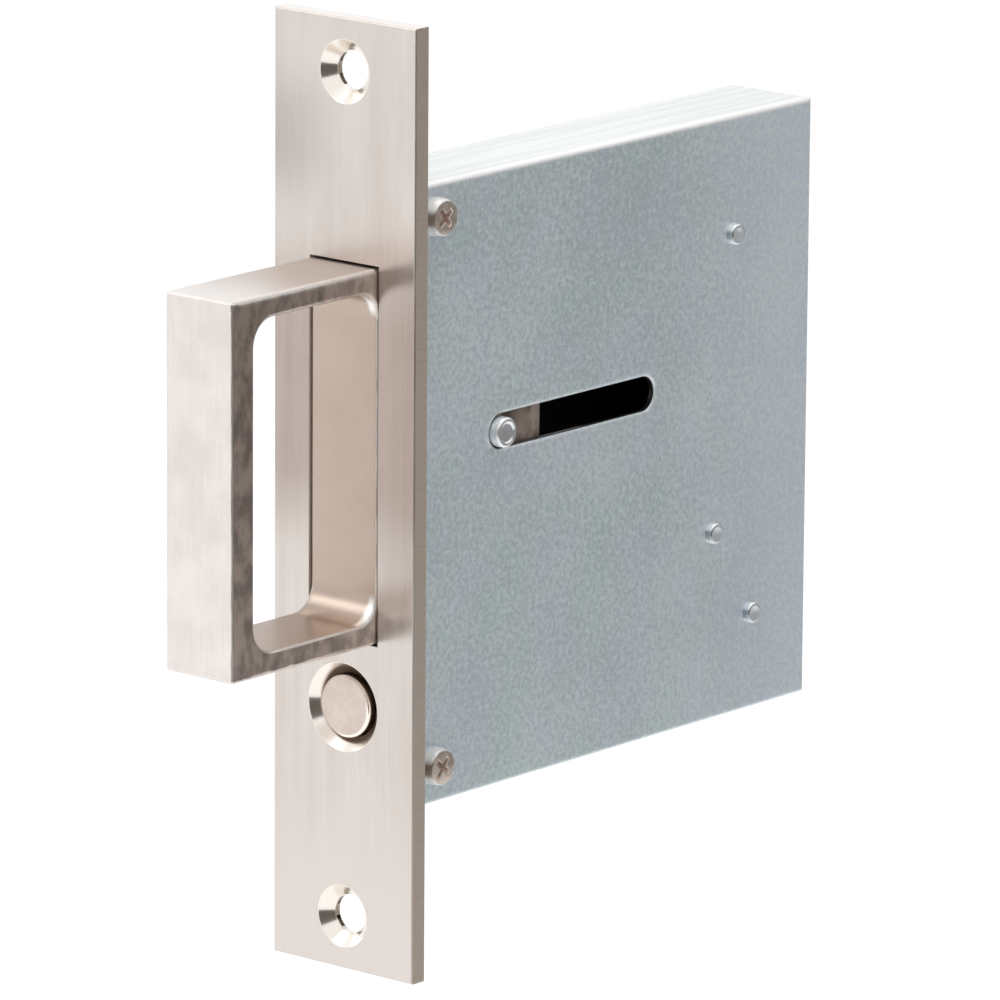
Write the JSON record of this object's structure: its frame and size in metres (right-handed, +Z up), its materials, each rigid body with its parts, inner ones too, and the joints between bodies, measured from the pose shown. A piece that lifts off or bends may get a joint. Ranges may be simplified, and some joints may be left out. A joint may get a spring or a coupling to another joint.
{
  "type": "pocket door pull",
  "caption": "Pop-out finger pull for the edge of a pocket door: a face plate with a sprung loop and a release button, on a slim closed case let into the door.",
  "frame": {"origin": "midway between the two fixing holes, on the back of the face plate, which lies on the door edge", "axes": "+X across the door edge, +Y into the door, +Z up"},
  "size_m": [0.026, 0.1248, 0.1364],
  "materials": {
    "satin_plate": "satin nickel, brushed along its length",
    "satin_pull": "satin nickel, brushed",
    "zinc_plate": "zinc-plated sheet steel",
    "screw_steel": "nickel-plated",
    "plain_steel": "plain steel",
    "spring_steel": "spring wire"
  },
  "bodies": {
    "case": {"face_plate": "satin_plate", "upper_lug": "plain_steel", "lower_lug": "plain_steel", "case_tray": "zinc_plate", "case_cover": "zinc_plate", "upper_case_screw": "screw_steel", "lower_case_screw": "screw_steel", "upper_post": "zinc_plate", "latch_post": "zinc_plate", "bar_guide_post": "zinc_plate", "latch_spacer_near": "plain_steel", "latch_spacer_far": "plain_steel", "bar_spacer_near": "plain_steel", "bar_spacer_far": "plain_steel", "spring_seat": "plain_steel", "upper_spring_rod": "plain_steel", "lower_spring_rod": "plain_steel"},
    "pull": {"pull": "satin_pull", "guide_pin": "zinc_plate", "upper_drive_spring": "spring_steel", "lower_drive_spring": "spring_steel"},
    "button": {"button": "satin_plate", "button_cross_pin": "spring_steel", "release_bar": "plain_steel"},
    "latch": {"latch": "plain_steel", "latch_spring": "spring_steel"}
  },
  "joints": [
    {"name": "pull_slide", "type": "slide", "parent": "case", "child": "pull", "axis": [0, 1, 0], "range_m": [0, 0.0316], "stiffness_N_per_m": 760, "springref_m": -0.01, "deforming": ["upper_drive_spring", "lower_drive_spring"]},
    {"name": "button_slide", "type": "slide", "parent": "case", "child": "button", "axis": [0, 1, 0], "range_m": [-0.002, 0]},
    {"name": "latch_swing", "type": "hinge", "parent": "case", "child": "latch", "pos_m": [0, 0.0702, -0.01695], "axis": [1, 0, 0], "range_deg": [-9.75, 0.1], "deforming": ["latch_spring"]}
  ],
  "couplings": [
    {"joint": "latch_swing", "follows": "button_slide", "rad_per_m": 84.5}
  ]
}
